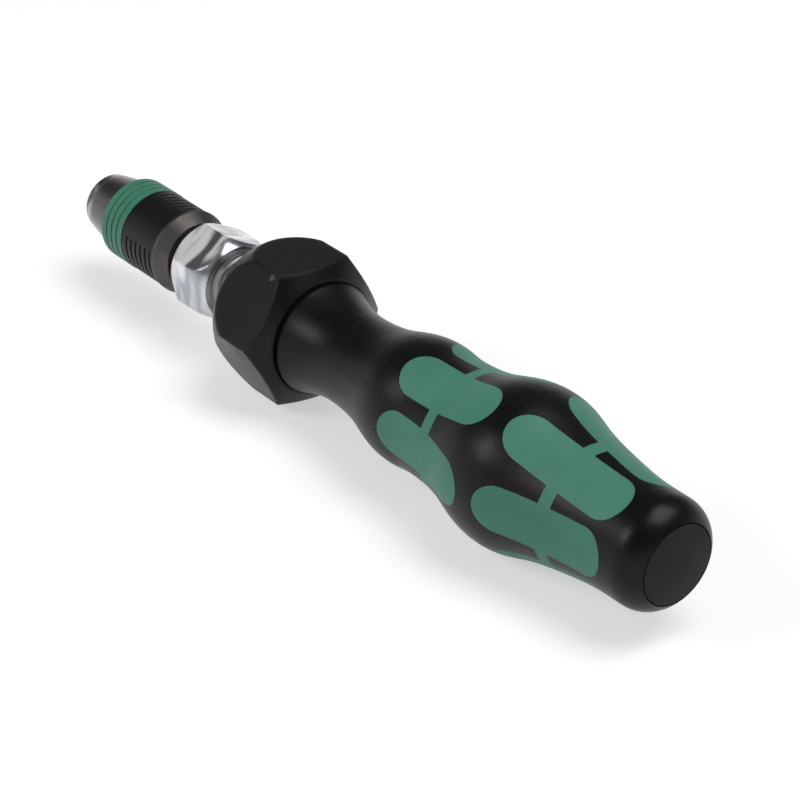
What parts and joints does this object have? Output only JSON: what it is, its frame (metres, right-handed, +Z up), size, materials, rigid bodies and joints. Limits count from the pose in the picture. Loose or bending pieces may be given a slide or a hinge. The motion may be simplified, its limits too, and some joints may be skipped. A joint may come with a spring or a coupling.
{
  "type": "torque screwdriver",
  "caption": "Hand torque screwdriver with a bit chuck, chromed spindle, six-sided setting collar and a waisted inlaid grip.",
  "frame": {"origin": "middle of the tool's length, on the surface it lies on", "axes": "+X along the tool's axis towards the end cap, +Z up; the bit socket opens towards -X"},
  "size_m": [0.1542, 0.0282, 0.0278],
  "materials": {
    "black_band": "matte",
    "black_metal": "satin",
    "black_plastic": "satin",
    "bronze": "turned",
    "cap_plastic": "satin",
    "chrome": "polished",
    "dark_steel": "turned",
    "green_plastic": "satin",
    "green_ring": "satin",
    "grey_ring": "satin",
    "magnet": "plated",
    "spring_steel": "drawn wire",
    "steel": "turned"
  },
  "bodies": {
    "handle": {"grip_shell": "black_plastic", "front_grip_inlay": "green_plastic", "rear_grip_inlay": "green_plastic", "end_cap": "cap_plastic", "housing_tube": "steel", "collar_clip": "spring_steel", "guide_pin_1": "steel", "guide_pin_2": "steel", "rear_plug": "steel", "thrust_washer": "bronze", "main_spring": "spring_steel"},
    "setting_collar": {"hex_collar": "black_metal", "index_pin": "steel", "front_bush": "dark_steel"},
    "screw": {"setting_screw": "dark_steel", "spring_washer": "steel"},
    "clutch": {"clutch_plate": "dark_steel", "clutch_ball_1": "steel", "clutch_ball_2": "steel", "clutch_ball_3": "steel"},
    "spindle": {"hex_spindle": "chrome", "drive_cam": "dark_steel", "cam_pin": "steel", "chuck_body": "dark_steel", "bit_magnet": "magnet", "chuck_clip": "spring_steel", "sleeve_spring": "spring_steel"},
    "slider": {"release_slider": "steel"},
    "sleeve": {"nose_sleeve": "steel", "grip_band": "black_band", "colour_ring": "green_ring", "rear_ring": "grey_ring"},
    "upper_ball": {"upper_lock_ball": "steel"},
    "lower_ball": {"lower_lock_ball": "steel"}
  },
  "joints": [
    {"name": "collar_turn", "type": "hinge", "parent": "handle", "child": "setting_collar", "pos_m": [-0.0103, 0, 0.0139], "axis": [1, 0, 0], "range_deg": [-450, 450]},
    {"name": "screw_feed", "type": "slide", "parent": "setting_collar", "child": "screw", "axis": [1, 0, 0], "range_m": [-0.00251, 0.00251], "deforming": ["main_spring"]},
    {"name": "plate_ride", "type": "slide", "parent": "handle", "child": "clutch", "axis": [-1, 0, 0], "range_m": [0, 0.0009], "stiffness_N_per_m": 5000, "springref_m": -0.004, "deforming": ["main_spring"]},
    {"name": "spindle_turn", "type": "hinge", "parent": "handle", "child": "spindle", "pos_m": [-0.0103, 0, 0.0139], "axis": [1, 0, 0], "continuous": true},
    {"name": "sleeve_slide", "type": "slide", "parent": "spindle", "child": "slider", "axis": [-1, 0, 0], "range_m": [0, 0.003], "stiffness_N_per_m": 1000, "springref_m": -0.003, "deforming": ["sleeve_spring"]},
    {"name": "sleeve_spin", "type": "hinge", "parent": "slider", "child": "sleeve", "pos_m": [-0.0103, 0, 0.0139], "axis": [1, 0, 0], "continuous": true},
    {"name": "upper_ball_out", "type": "slide", "parent": "spindle", "child": "upper_ball", "axis": [0, 0, 1], "range_m": [0, 0.00051]},
    {"name": "lower_ball_out", "type": "slide", "parent": "spindle", "child": "lower_ball", "axis": [0, 0, -1], "range_m": [0, 0.00051]}
  ],
  "couplings": [
    {"joint": "screw_feed", "follows": "collar_turn", "m_per_rad": 0.00031831},
    {"joint": "upper_ball_out", "follows": "sleeve_slide", "ratio": 0.16667},
    {"joint": "lower_ball_out", "follows": "sleeve_slide", "ratio": 0.16667}
  ]
}
